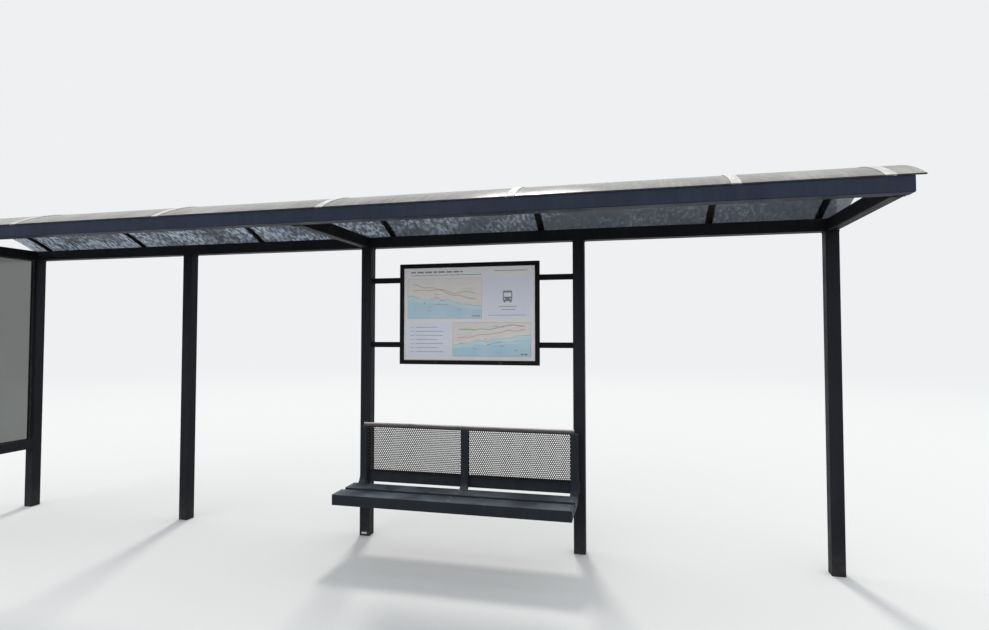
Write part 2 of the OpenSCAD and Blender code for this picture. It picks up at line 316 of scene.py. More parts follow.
def arc(centre_u, centre_v, radius, start, stop, turns=5):
    """Points of an arc in a plane, its angles in degrees."""
    angles = [math.radians(start + (stop - start) * k / turns) for k in range(turns + 1)]
    return [(centre_u + radius * math.cos(a), centre_v + radius * math.sin(a)) for a in angles]


def tube_outline(half_u, half_v, corner, pitch):
    """Points round an oblong with rounded corners, about one pitch apart."""
    points = []
    turns = max(3, round(corner * math.pi / 2 / pitch))
    for sign_u, sign_v, start in ((1, 1, 0), (-1, 1, 90), (-1, -1, 180), (1, -1, 270)):
        points += arc(sign_u * (half_u - corner), sign_v * (half_v - corner), corner,
                      start, start + 90, turns)
        last_u, last_v = points[-1]
        onward = math.radians(start + 180)
        run = 2 * ((half_u if start in (0, 180) else half_v) - corner)
        steps = max(1, round(run / pitch))
        points += [(last_u + math.cos(onward) * run * k / steps, last_v + math.sin(onward) * run * k / steps)
                   for k in range(1, steps)]
    return points


def end_welds(work, name, outline, seed):
    """Weld beads round both ends of a tube that lies along Y."""
    low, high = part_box(name)
    middle = middle_of(name)
    for end, y in enumerate((low.y + bead_sunk, high.y - bead_sunk)):
        weld_bead(work, [(middle.x + u, y, middle.z + v) for u, v in outline], bead_leg, seed + end,
                  loop=True)


# Rings of a bead stand 1.6 mm apart, and its middle lies 1.2 mm from the end that is welded on.
bead_sides = 6
bead_leg = 0.0036
bead_pitch = 0.0016
bead_sunk = 0.0012
square_path = tube_outline(tube / 2, tube / 2, tube_corner, bead_pitch)
post_welds = bmesh.new()
for seed, name in enumerate(("post_1", "post_2", "post_3", "post_4", "post_5", "end_upright"), 1):
    foot = middle_of(name)
    weld_bead(post_welds, [(foot.x + u, foot.y + v, beam_low - bead_sunk) for u, v in square_path],
              bead_leg, seed, loop=True)
finished_piece("post_head_welds", post_welds, [post_coat], crisp=80)

arm_wide = 0.06
arm_path = tube_outline(arm_wide / 2, tube / 2, tube_corner, bead_pitch)
arm_welds = bmesh.new()
for number, name in enumerate(("roof_arm_left", "roof_arm_middle", "roof_arm_right")):
    dress(name, painted_shade_coat)
    end_welds(arm_welds, name, arm_path, 20 + 2 * number)
finished_piece("roof_arm_welds", arm_welds, [painted_shade_coat], crisp=80)

# A cap's rings run outward to its rounded rim: how far each is set in, and how far under the face.
cap_rings = ((0.0, 0.0029), (0.0, 0.0016), (0.0004, 0.0008), (0.0013, 0.0002), (0.0028, 0.0))
caps = bmesh.new()
cap_low, cap_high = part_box("beam_end_caps")
for y in (0.0, front_beam_y):
    for end_x, out in ((cap_low.x, -1), (cap_high.x, 1)):
        skin_rings(caps, [[Vector((end_x - out * sunk, y + u, beam_middle + v)) for u, v in
                           tube_outline(tube / 2 - inset, tube / 2 - inset, tube_corner - inset, 0.0041)]
                          for inset, sunk in cap_rings])
piece = finished_piece("beam_caps", caps, [painted_shade_coat], crisp=50)
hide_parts("beam_end_caps")

# Rafters
# Seven 25 by 15 mm tubes rolled to the curve of the roof. Their ends are cut level, stand on
# the two long beams and are welded down at the sides.
beam_high = beam_low + tube
vault_rise = 0.150
vault_half_depth = (tube - front_beam_y) / 2
vault_radius = (vault_half_depth ** 2 + vault_rise ** 2) / (2 * vault_rise)
vault_half_angle = math.asin(vault_half_depth / vault_radius)
vault_y = front_beam_y / 2
vault_z = beam_high + vault_rise - vault_radius
rafter_count = 7
rafter_width = 0.025
rafter_x = []
for number in range(1, rafter_count + 1):
    dress(f"rafter_{number}", painted_shade_coat)
    rafter_x.append(middle_of(f"rafter_{number}").x)

# Each weld runs along a rafter's side, from 32 to 11 mm outside the middle of the beam.
weld_outer, weld_inner = 0.032, 0.011
weld_off = 0.0010
thin_leg = 0.0030
rafter_welds = bmesh.new()
count = round((weld_outer - weld_inner) / bead_pitch)
for number, x in enumerate(rafter_x):
    for end, (beam_y, out) in enumerate(((front_beam_y, -1), (0.0, 1))):
        for side in (-1, 1):
            edge_x = x + side * (rafter_width / 2 + weld_off)
            path = [(edge_x, beam_y + out * (weld_outer + (weld_inner - weld_outer) * k / count),
                     beam_high + weld_off) for k in range(count + 1)]
            weld_bead(rafter_welds, path, thin_leg, 100 + 8 * number + 2 * end + side)
finished_piece("rafter_welds", rafter_welds, [painted_shade_coat], crisp=80)

# Roof sheets
# Six clear solid plastic sheets, 4 mm thick, bent over the rafters. They are given a dark smoky
# tint and a haze, and dust and dirt lie on top in clouds and rain streaks.
sheet_lift, roof_sheet_thick = 0.0003, 0.004
sheet_low_radius = vault_radius + sheet_lift
sheet_high_radius = sheet_low_radius + roof_sheet_thick
middle_radius = (sheet_low_radius + sheet_high_radius) / 2


def clear_sheet(name, tint, rough, dirt=None, dirt_share=0.0, dirt_scale=4.0, top_radius=None):
    """Clear plastic or glass that lets lamps through, with a film of dirt where it lies."""
    finish = bare_finish(name)
    body_tint = tuple(tint) + (1,)
    spot = step(finish, "TexCoord")["Object"]
    ray = step(finish, "LightPath")
    cloudy = noise(finish, spot, 3.0, 0.3, 0.7, 5.0, out=(rough, rough + 0.14))
    pane = step(finish, "BsdfPrincipled", {"Base Color": body_tint, "Roughness": cloudy,
                                           "IOR": 1.55, "Transmission Weight": 1.0})
    lamp_tint, lit_share = body_tint, 0.24
    if top_radius:
        # The vault's upper and lower faces differ. Lamps take the tint at the lower one, and the
        # film there is lit mostly from above, through the sheet.
        axis = step(finish, "VectorMath", {0: spot, 1: (0.0, vault_y, vault_z)}, operation="SUBTRACT")
        arm = step(finish, "VectorMath", {0: axis[0], 1: (0.0, 1.0, 1.0)}, operation="MULTIPLY")
        span = step(finish, "VectorMath", {0: arm[0]}, operation="LENGTH")["Value"]
        on_top = sums(finish, "GREATER_THAN", span, top_radius)
        lamp_tint = blended(finish, on_top, body_tint, (0.80, 0.86, 0.95, 1))
        lit_share = layered(finish, 0.78, (on_top, -0.54))
    clear = step(finish, "BsdfTransparent", {"Color": lamp_tint})
    glass = step(finish, "MixShader", {0: ray["Is Shadow Ray"], 1: pane[0], 2: clear[0]})
    if dirt:
        clouds = noise(finish, spot, dirt_scale, 0.34, 0.66, 7.0)
        streaks = noise(finish, spot, 1.0, 0.44, 0.70, 5.0, stretch=(30.0, 2.2, 2.2))
        crumbs = noise(finish, spot, 55.0, 0.60, 0.68, 3.0)
        film = layered(finish, 0.34, (clouds, 0.35), (streaks, 0.22), (crumbs, 0.12))
        film = sums(finish, "MULTIPLY", film, dirt_share)
        tone = blended(finish, clouds, tuple(0.8 * part for part in dirt) + (1,), tuple(dirt) + (1,))
        if top_radius:
            # The haze underneath is real, but its fine flecks are painted dappled light, and it is made
            # thick
            # at the left end and thin at the right: painted light and shade along the roof.
            along = step(finish, "SeparateXYZ", {0: spot})["X"]
            painted_light_fade = step(finish, "MapRange", {"Value": along, "From Min": -2.6, "From Max": 2.4,
                                             "To Min": 1.7, "To Max": 0.16})[0]
            puffs = noise(finish, spot, 2.1, 0.40, 0.60, 5.0, out=(0.20, 1.0))
            painted_dapple_flecks = noise(finish, spot, 34.0, 0.44, 0.66, 12.0, stretch=(1.3, 0.7, 0.7))
            wiped = noise(finish, spot, 1.0, 0.56, 0.70, 5.0, stretch=(60.0, 9.0, 9.0))
            haze_and_painted_light = layered(finish, 0.14, (painted_dapple_flecks, 1.30), (wiped, 0.50))
            haze_and_painted_light = sums(finish, "MULTIPLY", sums(finish, "MULTIPLY", haze_and_painted_light, puffs), painted_light_fade)
            film = blended(finish, on_top, haze_and_painted_light, film)
            tone = blended(finish, on_top, (0.74, 0.82, 0.94, 1), tone)
        film = step(finish, "Clamp", {0: film})[0]
        lying = step(finish, "BsdfDiffuse", {"Color": tone, "Roughness": 0.6})
        lit = step(finish, "BsdfTranslucent", {"Color": tone})
        dusty = step(finish, "MixShader", {0: lit_share, 1: lying[0], 2: lit[0]})
        glass = step(finish, "MixShader", {0: film, 1: glass[0], 2: dusty[0]})
    step(finish, "OutputMaterial", {"Surface": glass[0]})
    return finish


roof_plastic = clear_sheet("roof_plastic", (0.054, 0.068, 0.090), rough=0.12, dirt=(0.74, 0.72, 0.67),
                           dirt_share=0.95, dirt_scale=3.4, top_radius=middle_radius)
for number in range(1, rafter_count):
    dress(f"roof_sheet_{number}", roof_plastic)

# Cover strips
# Seven 48 mm aluminium strips, one over each rafter, clamp the sheets on rubber seals. Each is
# held by a row of dome-headed screws and has gone pale and chalky outdoors.
chalky_metal = bare_finish("chalky_metal")
spot = step(chalky_metal, "TexCoord")["Object"]
chalk = noise(chalky_metal, spot, 14.0, 0.35, 0.65, 5.0)
stain = noise(chalky_metal, spot, 1.0, 0.52, 0.72, 4.0, stretch=(70.0, 6.0, 6.0))
colour = blended(chalky_metal, chalk, (0.66, 0.66, 0.64, 1), (0.80, 0.79, 0.76, 1))
colour = blended(chalky_metal, sums(chalky_metal, "MULTIPLY", stain, 0.5), colour, (0.42, 0.40, 0.36, 1))
rolling = step(chalky_metal, "VectorMath", {0: spot, 1: (900.0, 30.0, 30.0)}, operation="MULTIPLY")[0]
rolled = step(chalky_metal, "TexNoise", {"Vector": rolling, "Scale": 1.0})[0]
lines = step(chalky_metal, "Bump", {"Height": rolled, "Strength": 0.15, "Distance": 0.0003})[0]
rough = noise(chalky_metal, spot, 20.0, 0.3, 0.7, out=(0.60, 0.78))
skin = step(chalky_metal, "BsdfPrincipled", {"Base Color": colour, "Metallic": 0.25, "Roughness": rough,
                                             "Normal": lines})
step(chalky_metal, "OutputMaterial", {"Surface": skin[0]})


def clouded_finish(name, one, other, cloud, rough_scale, rough_range, more=None):
    """Plain finish that wanders between two tones in clouds (scale, low, high, detail)."""
    finish = bare_finish(name)
    spot = step(finish, "TexCoord")["Object"]
    tone = blended(finish, noise(finish, spot, *cloud), tuple(one) + (1,), tuple(other) + (1,))
    rough = noise(finish, spot, rough_scale, 0.3, 0.7, out=rough_range)
    skin = step(finish, "BsdfPrincipled", {"Base Color": tone, "Roughness": rough, **(more or {})})
    step(finish, "OutputMaterial", {"Surface": skin[0]})
    return finish


black_rubber = clouded_finish("black_rubber", (0.012, 0.012, 0.013), (0.045, 0.043, 0.040),
                              (40.0, 0.4, 0.7, 4.0), 90.0, (0.60, 0.85))


def vault_point(x, radius, angle):
    """A point of the vault, its angle counted from the top towards the back."""
    return Vector((x, vault_y + radius * math.sin(angle), vault_z + radius * math.cos(angle)))


def vault_sweep(work, x, outline, half_angle, finish=0):
    """Sweeps an outline of (across, up from the sheet) points along the vault."""
    rings = []
    for k in range(vault_steps + 1):
        angle = -half_angle + 2 * half_angle * k / vault_steps
        rings.append([vault_point(x + across, sheet_high_radius + up, angle) for across, up in outline])
    skin_rings(work, rings, finish=finish)


def dome_head(work, centre, normal, size, finish=0, sides=16):
    """Dome screw head, its size (radius, height), with a socket in its middle."""
    radius, height = size
    normal = Vector(normal).normalized()
    across = normal.orthogonal().normalized()
    other = normal.cross(across)
    rings = []
    for share, rise in ((1.0, 0.0), (1.0, 0.25), (0.92, 0.62), (0.70, 0.90), (0.42, 1.0), (0.36, 0.98),
                        (0.34, 0.5)):
        rings.append(round_ring(Vector(centre) + normal * (height * rise), across, other, radius * share,
                                sides))
    skin_rings(work, rings, finish=finish)


eave_half_angle = math.radians(30.51)
strip_half = 0.024
strip_outline = [(-strip_half, 0.0010), (-strip_half, 0.0030), (-0.0220, 0.0036), (-0.0160, 0.0040),
                 (0.0, 0.0044), (0.0160, 0.0040), (0.0220, 0.0036), (strip_half, 0.0030),
                 (strip_half, 0.0010)]
seal_off = 0.0135
seal_half_angle = eave_half_angle - 0.002
seal_outline = [(-0.0085, 0.0), (-0.0085, 0.0012), (0.0085, 0.0012), (0.0085, 0.0)]
vault_steps = 56
screws_a_strip = 5
screw_spread = 0.9 * vault_half_angle
screw_seat = sheet_high_radius + 0.0042
strip_screw = (0.0065, 0.0019)
for number, x in enumerate(rafter_x, 1):
    strip = bmesh.new()
    vault_sweep(strip, x, strip_outline, eave_half_angle)
    for side in (-1, 1):
        vault_sweep(strip, x + side * seal_off, seal_outline, seal_half_angle, finish=1)
    for k in range(screws_a_strip):
        head = vault_point(x, screw_seat, screw_spread * (2 * k / (screws_a_strip - 1) - 1))
        dome_head(strip, head, head - Vector((x, vault_y, vault_z)), strip_screw, finish=2)
    piece = finished_piece(f"cover_strip_{number}", strip, [chalky_metal, black_rubber, chalky_metal])
    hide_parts("cover_strips")

# The sheets' front and rear edges sit in black rubber channels, cut between the strips.
# The outline of a channel gives how far out from the sheet's edge and up from its middle it goes.
edge_rubber = bmesh.new()
rubber_gap = strip_half + 0.0005
rubber_stops = [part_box("roof_sheet_1")[0].x + 0.001]
for x in rafter_x:
    rubber_stops += [x - rubber_gap, x + rubber_gap]
rubber_stops.append(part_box("roof_sheet_6")[1].x - 0.001)
channel = [(-0.0060, 0.0022), (-0.0060, 0.0030), (0.0010, 0.0036), (0.0020, 0.0028), (0.0022, 0.0),
           (0.0020, -0.0030), (0.0010, -0.0036), (-0.0020, -0.0032), (-0.0020, -0.0022),
           (0.0002, -0.0022), (0.0002, 0.0022)]
for x_from, x_to in zip(rubber_stops[::2], rubber_stops[1::2]):
    for side in (-1, 1):
        skin_rings(edge_rubber, [
            [vault_point(x, middle_radius + up, side * (eave_half_angle + out / middle_radius))
             for out, up in channel] for x in (x_from, x_to)])
finished_piece("sheet_edge_rubber", edge_rubber, [black_rubber], crisp=40)

# End panel
# One more 80 mm upright under the front beam, a bottom rail of the same tube and a smoke-tinted
# safety glass pane between them, bedded in black rubber on both faces.
for name in ("end_upright", "end_rail"):
    dress(name, post_coat)
tinted_glass = clear_sheet("tinted_glass", (0.165, 0.175, 0.165), rough=0.0, dirt=(0.30, 0.29, 0.27),
                           dirt_share=0.10, dirt_scale=2.2)
dress("end_pane", tinted_glass)

end_rail_welds = bmesh.new()
end_welds(end_rail_welds, "end_rail", square_path, 40)
finished_piece("end_rail_welds", end_rail_welds, [post_coat], crisp=80)


def four_corners(u0, v0, u1, v1):
    """Corners of an oblong in order, each with its way inward along both directions."""
    return [(u0, v0, 1, 1), (u1, v0, -1, 1), (u1, v1, -1, -1), (u0, v1, 1, -1)]


# The seal is a rounded bead along the pane's edges: shares of its width inward and its depth out.
pane_low, pane_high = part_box("end_pane")
seal_wide, seal_deep = 0.009, 0.006
seal_round = ((0.0, 0.0), (1.0, 0.0), (0.92, 0.35), (0.7, 0.7), (0.35, 0.92), (0.0, 1.0))
pane_seal = bmesh.new()
for face_x, out in ((pane_low.x, -1), (pane_high.x, 1)):
    rings = []
    for y, z, inward_y, inward_z in four_corners(pane_low.y, pane_low.z, pane_high.y, pane_high.z):
        rings.append([Vector((face_x + out * seal_deep * share_out, y + inward_y * seal_wide * share_in,
                              z + inward_z * seal_wide * share_in)) for share_in, share_out in seal_round])
    skin_rings(pane_seal, rings, loop=True)
finished_piece("end_pane_seal", pane_seal, [black_rubber], crisp=50)

# Bench
# Three brackets of bent oblong tube stand before a box rail on the posts. They carry two folded
# steel seat slats, two sheets with round holes and a round top rail, all powder coated. The coat
# is rubbed thin along the edges, and what faces up is paler and bluer: dust, with painted sky light.
bench_coat = powder_coat("bench_coat", (0.029, 0.0335, 0.042), (0.21, 0.24, 0.285), on_top=0.58,
                         worn=0.45)
# The round top rail has the bench's dark paint, but is painted pale all over and paler still on top: painted
# sunlight on it.
painted_sunlit_coat = powder_coat("painted_sunlit_coat", (0.135, 0.125, 0.122), (0.74, 0.69, 0.67), on_top=1.5)
dress("back_low_rail", bench_coat)
dress("back_top_rail", painted_sunlit_coat)
bracket_x = []
for name in ("bench_bracket_left", "bench_bracket_middle", "bench_bracket_right"):
    dress(name, bench_coat)
    bracket_x.append(middle_of(name).x)
bolt_steel = clouded_finish("bolt_steel", (0.20, 0.20, 0.20), (0.34, 0.31, 0.27),
                            (260.0, 0.35, 0.7, 4.0), 300.0, (0.35, 0.6), {"Metallic": 0.8})
slat_wall = 0.003
slat_edge, seat_edge = 0.030, 0.070
fold_radius = 0.0055
slat_end_inset = 0.0006
slat_bolt_inset = 0.036
slat_bolt = (0.0075, 0.0040)


def bar_along_x(work, outline, x_from, x_to):
    """A closed bar with one outline of (y, z) points from end to end."""
    skin_rings(work, [[Vector((x, y, z)) for y, z in outline] for x in (x_from, x_to)])


def folded_slat(name, edge_front):
    """Steel slat with its front and back edges folded down round a radius, and closed ends."""
    low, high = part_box(name)
    top, y0, y1, inside = high.z, low.y, high.y, fold_radius - slat_wall
    outline = [(y0, top - edge_front)]
    outline += arc(y0 + fold_radius, top - fold_radius, fold_radius, 180, 90)
    outline += arc(y1 - fold_radius, top - fold_radius, fold_radius, 90, 0)
    outline += [(y1, top - slat_edge), (y1 - slat_wall, top - slat_edge)]
    outline += arc(y1 - fold_radius, top - fold_radius, inside, 0, 90, 3)
    outline += arc(y0 + fold_radius, top - fold_radius, inside, 90, 180, 3)
    outline += [(y0 + slat_wall, top - edge_front)]
    work = bmesh.new()
    bar_along_x(work, outline, low.x, high.x)
    end_low = top - slat_edge
    plate = [(y0 + slat_wall, end_low)] + arc(y0 + fold_radius, top - fold_radius, inside, 180, 90, 3)
    plate += arc(y1 - fold_radius, top - fold_radius, inside, 90, 0, 3) + [(y1 - slat_wall, end_low)]
    for plate_x in (low.x + slat_end_inset, high.x - slat_end_inset - slat_wall):
        bar_along_x(work, plate, plate_x, plate_x + slat_wall)
    for x in bracket_x:
        for y in (y0 + slat_bolt_inset, y1 - slat_bolt_inset):
            dome_head(work, (x, y, top), (0, 0, 1), slat_bolt, finish=1)
    piece = finished_piece(name + "_folded", work, [bench_coat, bolt_steel], crisp=40)
    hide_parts(name)


folded_slat("seat_slat_front", seat_edge)
folded_slat("seat_slat_rear", slat_edge)

# The back sheets are 2 mm steel with staggered 10 mm holes, 15 mm apart. The holes run out at
# the brackets, and the lower edge is turned back onto the box rail and riveted there.
back_sheet_thick = 0.002
hole_pitch = 0.015
hole_radius = 0.005
hole_sides = 12
hole_start_x, hole_start_z = 0.004, 0.003
plain_low, plain_high = 0.008, 0.006
hexagon_reach = hole_pitch / math.sqrt(3)
hexagon = arc(0, 0, hexagon_reach, 30, 390, 6)[:-1]
hole_rim = arc(0, 0, hole_radius, 0, 360, hole_sides)[:-1]


def holed_sheet(work, x0, x1, z0, z1, y_front):
    """Steel sheet cut from a field of hexagons, each with a round hole in its middle."""
    field = bmesh.new()
    known = {}

    def corner(x, z):
        """A corner of a hexagon, shared with the hexagons beside it."""
        key = (round(x * 1e5), round(z * 1e5))
        if key not in known:
            known[key] = field.verts.new((x, y_front, z))
        return known[key]

    row_pitch = hexagon_reach * 1.5
    rows = int((z1 - z0) / row_pitch) + 3
    columns = int((x1 - x0) / hole_pitch) + 3
    for row in range(-1, rows):
        for column in range(-1, columns):
            x = x0 + (column + 0.5 * (row % 2)) * hole_pitch + hole_start_x
            z = z0 + row * row_pitch + hole_start_z
            rim = [corner(x + u, z + v) for u, v in hexagon]
            if z0 + plain_low < z < z1 - plain_high:
                hole = [field.verts.new((x + u, y_front, z + v)) for u, v in hole_rim]
                for k in range(6):
                    first = 1 + 2 * k
                    field.faces.new((rim[k], rim[(k + 1) % 6], hole[(first + 2) % hole_sides],
                                     hole[(first + 1) % hole_sides], hole[first]))
            else:
                field.faces.new(rim)
    for place, out in (((x0, 0, 0), (-1, 0, 0)), ((x1, 0, 0), (1, 0, 0)),
                       ((0, 0, z0), (0, 0, -1)), ((0, 0, z1), (0, 0, 1))):
        bmesh.ops.bisect_plane(field, geom=field.verts[:] + field.edges[:] + field.faces[:], dist=1e-6,
                               plane_co=place, plane_no=out, clear_outer=True)
    grown = bmesh.ops.extrude_face_region(field, geom=field.faces[:])
    bmesh.ops.translate(field, vec=(0, back_sheet_thick, 0),
                        verts=[made for made in grown["geom"] if isinstance(made, bmesh.types.BMVert)])
    held = bpy.data.meshes.new("field")
    field.to_mesh(held)
    field.free()
    work.from_mesh(held)
    bpy.data.meshes.remove(held)


sheet_coat = powder_coat("sheet_coat", (0.018, 0.018, 0.020), (0.24, 0.21, 0.175), on_top=0.6)
lip_rivet = (0.0045, 0.0020)
lip_rivet_y = -0.062
bays = 4
for name in ("back_sheet_left", "back_sheet_right"):
    low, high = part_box(name)
    panel = bmesh.new()
    lip_top = low.z + back_sheet_thick
    holed_sheet(panel, low.x, high.x, lip_top, high.z, low.y)
    bar_along_x(panel, [(low.y, low.z), (low.y, lip_top), (high.y, lip_top), (high.y, low.z)], low.x, high.x)
    for k in range(bays):
        rivet_x = low.x + (high.x - low.x) * (k + 0.5) / bays
        dome_head(panel, (rivet_x, lip_rivet_y, lip_top), (0, 0, 1), lip_rivet, finish=1, sides=12)
    piece = finished_piece(name + "_holed", panel, [sheet_coat, bolt_steel], crisp=30)
    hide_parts(name)

# The rails are closed with black plastic plugs. The top rail is welded in the hollows over the
# brackets, the sheets are stitched to the brackets, and the box rail is welded to both posts.
bench_welds = bmesh.new()
rail_low, rail_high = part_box("back_top_rail")
rail_middle = middle_of("back_top_rail")


def short_bead(start, stop, leg, seed):
    """A straight weld bead on the bench."""
    start, stop = Vector(start), Vector(stop)
    count = max(4, round((stop - start).length / bead_pitch))
    weld_bead(bench_welds, [start.lerp(stop, k / count) for k in range(count + 1)], leg, seed)


# Two beads lie under the round rail over each bracket, and one stands on each of its sides where
# it meets the box rail.
rail_bead_z = rail_low.z + bead_sunk
rail_bead_off, rail_bead_half = 0.0075, 0.021
bracket_bead_off, bracket_bead_leg = 0.0272, 0.0032
bracket_bead_y, bracket_bead_low, bracket_bead_high = -0.0812, 0.470, 0.498
for number, x in enumerate(bracket_x):
    for side in (-1, 1):
        y = rail_middle.y + side * rail_bead_off
        short_bead((x - rail_bead_half, y, rail_bead_z), (x + rail_bead_half, y, rail_bead_z), thin_leg,
                   200 + number * 10 + side)
        edge_x = x + side * bracket_bead_off
        short_bead((edge_x, bracket_bead_y, bracket_bead_low), (edge_x, bracket_bead_y, bracket_bead_high),
                   bracket_bead_leg, 240 + number * 10 + side)

# Each back sheet has three stitches down either end and four along its top.
stitch_leg, stitch_long = 0.0020, 0.018
end_stitch_y, end_stitch_in = -0.0985, 0.0008
end_stitch_first, end_stitch_pitch = 0.05, 0.11
top_stitch_y, top_stitch_in = -0.0988, 0.0005
for name in ("back_sheet_left", "back_sheet_right"):
    low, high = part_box(name)
    for k in range(3):
        z = low.z + end_stitch_first + k * end_stitch_pitch
        for x in (low.x + end_stitch_in, high.x - end_stitch_in):
            short_bead((x, end_stitch_y, z), (x, end_stitch_y, z + stitch_long), stitch_leg, 300 + k)
    z = high.z - top_stitch_in
    for k in range(bays):
        x = low.x + (high.x - low.x) * (k + 0.5) / bays - stitch_long / 2
        short_bead((x, top_stitch_y, z), (x + stitch_long, top_stitch_y, z), stitch_leg, 320 + k)

# The box rail's ends lie on the posts, welded round from 33 mm past the posts' middles.
box_low, box_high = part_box("back_low_rail")
box_bead_y = box_high.y - 0.001
post_edge = 0.033
for end_x, in_x in ((box_low.x, post_edge), (box_high.x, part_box("seat_slat_front")[1].x - post_edge)):
    turns = [(in_x, box_high.z), (end_x, box_high.z), (end_x, box_low.z), (in_x, box_low.z)]
    for (x0, z0), (x1, z1) in zip(turns, turns[1:]):
        short_bead((x0, box_bead_y, z0), (x1, box_bead_y, z1), thin_leg, 340)
finished_piece("bench_welds", bench_welds, [bench_coat], crisp=80)

# A plug's rings run from inside the tube out over its end: the box rail's by how far each is set
# in from the tube's side, the round rail's by radius, and both by how far they stand out.
box_plug_rings = ((0.0035, -0.006), (0.0035, 0.0), (0.0008, 0.0), (0.0008, 0.0012), (0.0030, 0.0024))
round_plug_rings = ((0.0125, -0.006), (0.0125, 0.0), (0.0146, 0.0), (0.0146, 0.0012), (0.0120, 0.0026),
                    (0.0060, 0.0034))
box_middle = middle_of("back_low_rail")
box_half_y, box_half_z, box_corner = 0.020, 0.041, 0.0055
plug_pitch, plug_sides = 0.004, 24
plugs = bmesh.new()
for end_x, out in ((box_low.x, -1), (box_high.x, 1)):
    skin_rings(plugs, [[Vector((end_x + out * push, box_middle.y + u, box_middle.z + v)) for u, v in
                        tube_outline(box_half_y - inset, box_half_z - inset, box_corner - inset, plug_pitch)]
                       for inset, push in box_plug_rings])
for end_x, out in ((rail_low.x, -1), (rail_high.x, 1)):
    skin_rings(plugs, [round_ring(Vector((end_x + out * push, rail_middle.y, rail_middle.z)),
                                  Vector((0, 1, 0)), Vector((0, 0, 1)), radius, plug_sides)
                       for radius, push in round_plug_rings])
finished_piece("rail_plugs", plugs, [black_rubber], crisp=40)

# Notice case
# A shallow steel tray hangs on two thin rails, held by a saddle strap at each crossing.
# It holds a backing board and a printed route sheet behind a clear plastic cover.
case_coat = powder_coat("case_coat", (0.0135, 0.0135, 0.0160), (0.22, 0.21, 0.20), on_top=0.5, worn=0.18)
dress("case_tray", case_coat)
dress("case_board", powder_coat("board_grey", (0.25, 0.26, 0.26), (0.3, 0.3, 0.3), on_top=0.2))
dress("case_cover", clear_sheet("case_plastic", (0.98, 0.985, 0.985), rough=0.02))
tray_low, tray_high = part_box("case_tray")

# The rails are 40 by 25 mm tube, welded to the inner faces of posts 3 and 4.
case_rail_tall = 0.040
case_rail_corner = 0.004
case_rail_leg = 0.0024
case_rail_z = {}
case_rail_welds = bmesh.new()
for number, name in enumerate(("case_rail_upper", "case_rail_lower")):
    low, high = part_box(name)
    middle_y = middle_of(name).y
    middle_z = low.z + case_rail_tall / 2 if number else high.z - case_rail_tall / 2
    case_rail_z[name] = middle_z
    section = [(middle_y + u, middle_z + v) for u, v in
               tube_outline((high.y - low.y) / 2, case_rail_tall / 2, case_rail_corner, bead_pitch)]
    bar = bmesh.new()
    bar_along_x(bar, section, low.x, high.x)
    piece = finished_piece(name + "_tube", bar, [case_coat], crisp=40)
    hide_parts(name)
    for end, x in enumerate((low.x + bead_sunk, high.x - bead_sunk)):
        weld_bead(case_rail_welds, [(x, y, z) for y, z in section],
                  case_rail_leg, 60 + 2 * number + end, loop=True)
finished_piece("case_rail_welds", case_rail_welds, [case_coat], crisp=80)

# A strap goes round the back of its rail, with a foot above and below that is screwed to the tray.
straps = bmesh.new()
strap_thick = 0.0025
strap_half_width = 0.0125
strap_gap = 0.0004
strap_foot = 0.0215
strap_in = 0.16
strap_screw = (0.0045, 0.0028)
back = tray_high.y
foot_y = back + strap_thick
for name, z in case_rail_z.items():
    hollow = case_rail_tall / 2 + strap_gap
    outer, foot = hollow + strap_thick, hollow + strap_foot
    hollow_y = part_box(name)[1].y + strap_gap
    behind = hollow_y + strap_thick
    outline = [(back, z + foot), (foot_y, z + foot), (foot_y, z + outer), (behind, z + outer),
               (behind, z - outer), (foot_y, z - outer), (foot_y, z - foot), (back, z - foot),
               (back, z - hollow), (hollow_y, z - hollow), (hollow_y, z + hollow), (back, z + hollow)]
    for x in (tray_low.x + strap_in, tray_high.x - strap_in):
        bar_along_x(straps, outline, x - strap_half_width, x + strap_half_width)
        for side in (-1, 1):
            screw_z = z + side * (foot + outer) / 2
            dome_head(straps, (x, foot_y, screw_z), (0, 1, 0), strap_screw, finish=1)
finished_piece("case_straps", straps, [case_coat, bolt_steel], crisp=30)

# The front frame is four mitred aluminium bars, coated black, with a rubber lip on the cover
# and two key locks in the bottom bar.
frame_low, frame_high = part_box("case_frame")
border = 0.029
case_lock = (0.0085, 0.0016)
lock_in = 0.28
mitre_gap = 0.00025
bar_section = [(0.0, 0.0), (0.0, 0.0058), (0.0008, 0.0073), (0.0024, 0.0080), (border - 0.0035, 0.0080),
               (border - 0.0012, 0.0072), (border, 0.0052), (border, 0.0)]
lip_section = [(-0.001, 0.0), (0.0030, 0.0), (0.0030, 0.0008), (0.0016, 0.0018), (-0.001, 0.0018)]
corners = four_corners(frame_low.x, frame_low.z, frame_high.x, frame_high.z)


def mitre_ring(corner, section, inset=0.0, shift_x=0.0, shift_z=0.0):
    """A section of (inward, forward) points, turned along a corner's mitre."""
    x, z, inward_x, inward_z = corner
    return [Vector((x + inward_x * (inset + wide + shift_x), frame_high.y - deep,
                    z + inward_z * (inset + wide + shift_z))) for wide, deep in section]


case_frame = bmesh.new()
for number in range(4):
    gaps = (mitre_gap, 0.0) if number % 2 == 0 else (0.0, mitre_gap)
    skin_rings(case_frame, [mitre_ring(corners[end % 4], bar_section, 0.0, *gaps)
                            for end in (number, number + 1)])
for x in (frame_low.x + lock_in, frame_high.x - lock_in):
    lock = (x, frame_low.y, frame_low.z + border / 2)
    dome_head(case_frame, lock, (0, -1, 0), case_lock, finish=1, sides=24)
piece = finished_piece("case_front_frame", case_frame, [case_coat, black_rubber], crisp=30)
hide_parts("case_frame")

